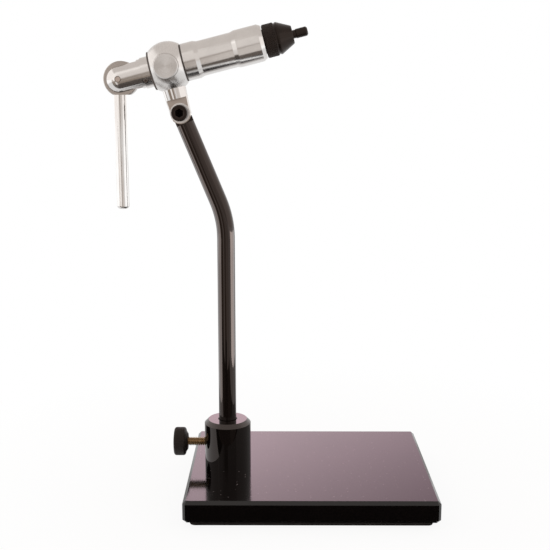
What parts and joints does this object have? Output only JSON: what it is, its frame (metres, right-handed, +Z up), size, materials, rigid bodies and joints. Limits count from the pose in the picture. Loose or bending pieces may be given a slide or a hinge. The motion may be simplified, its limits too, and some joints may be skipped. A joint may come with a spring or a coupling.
{
  "type": "fly tying vise",
  "caption": "Rotary fly tying vise on a heavy plate base: bent stem in a clamped socket, tilting ball head, turning barrel and a split collet closed by a cam lever.",
  "frame": {"origin": "centre of the base's footprint, on the plane of the table under the pad", "axes": "+Z up, +X the way the jaws face, +Y away from the side that carries the drag screw"},
  "size_m": [0.1729, 0.1054, 0.2531],
  "materials": {
    "base_enamel": "satin black-brown baked paint",
    "black_gloss": "gloss black plating",
    "pad_rubber": "matte",
    "knob_plastic": "matte moulded",
    "brass": "turned, slightly dulled",
    "satin_aluminium": "fine turned, bright",
    "polished_steel": "polished",
    "black_oxide": "black oxide, satin",
    "washer_plastic": "matte black",
    "nylon": "natural"
  },
  "bodies": {
    "base": {"base_plate": "base_enamel", "base_pad": "pad_rubber", "stem_socket": "black_gloss"},
    "thumbscrew": {"thumbscrew_stud": "brass", "thumbscrew_knob": "knob_plastic"},
    "stem": {"stem": "black_gloss", "pivot_screw": "black_oxide", "pivot_washer": "polished_steel"},
    "head": {"ball_block": "satin_aluminium", "neck": "satin_aluminium"},
    "drag_screw": {"drag_knob": "satin_aluminium", "drag_plug": "nylon"},
    "barrel": {"spindle": "polished_steel", "front_barrel": "satin_aluminium", "front_washer": "washer_plastic", "rear_washer": "washer_plastic", "rear_housing": "satin_aluminium", "set_screw": "black_oxide", "cam_pin": "polished_steel", "return_spring": "polished_steel"},
    "lever": {"cam": "polished_steel", "lever": "polished_steel"},
    "push_rod": {"push_rod": "polished_steel", "collet": "black_oxide"},
    "nose_cap": {"nose_cap": "black_oxide"}
  },
  "joints": [
    {"name": "stem_height", "type": "slide", "parent": "base", "child": "stem", "axis": [0, 0, 1], "range_m": [0, 0.016]},
    {"name": "thumbscrew_turn", "type": "hinge", "parent": "base", "child": "thumbscrew", "pos_m": [-0.0577, 0, 0.02725], "axis": [-1, 0, 0], "range_deg": [-135, 360]},
    {"name": "head_tilt", "type": "hinge", "parent": "stem", "child": "head", "pos_m": [-0.06794, 0, 0.20714], "axis": [0, 1, 0], "range_deg": [-30, 45]},
    {"name": "barrel_rotation", "type": "hinge", "parent": "head", "child": "barrel", "pos_m": [-0.07388, 0, 0.2306], "axis": [0.9694, 0, 0.2453], "continuous": true},
    {"name": "cam_lever", "type": "hinge", "parent": "barrel", "child": "lever", "pos_m": [-0.09918, 0, 0.2242], "axis": [0, 1, 0], "range_deg": [0, 100]},
    {"name": "push_rod_slide", "type": "slide", "parent": "barrel", "child": "push_rod", "axis": [-0.9694, 0, -0.2453], "range_m": [0, 0.0008]},
    {"name": "drag_screw_turn", "type": "hinge", "parent": "head", "child": "drag_screw", "pos_m": [-0.07388, -0.012, 0.2306], "axis": [0, -1, 0], "range_deg": [-90, 360]},
    {"name": "nose_cap_turn", "type": "hinge", "parent": "barrel", "child": "nose_cap", "pos_m": [-0.02453, 0, 0.24308], "axis": [0.9694, 0, 0.2453], "range_deg": [-90, 360]}
  ],
  "couplings": [
    {"joint": "push_rod_slide", "follows": "cam_lever", "m_per_rad": 0.00045837}
  ]
}
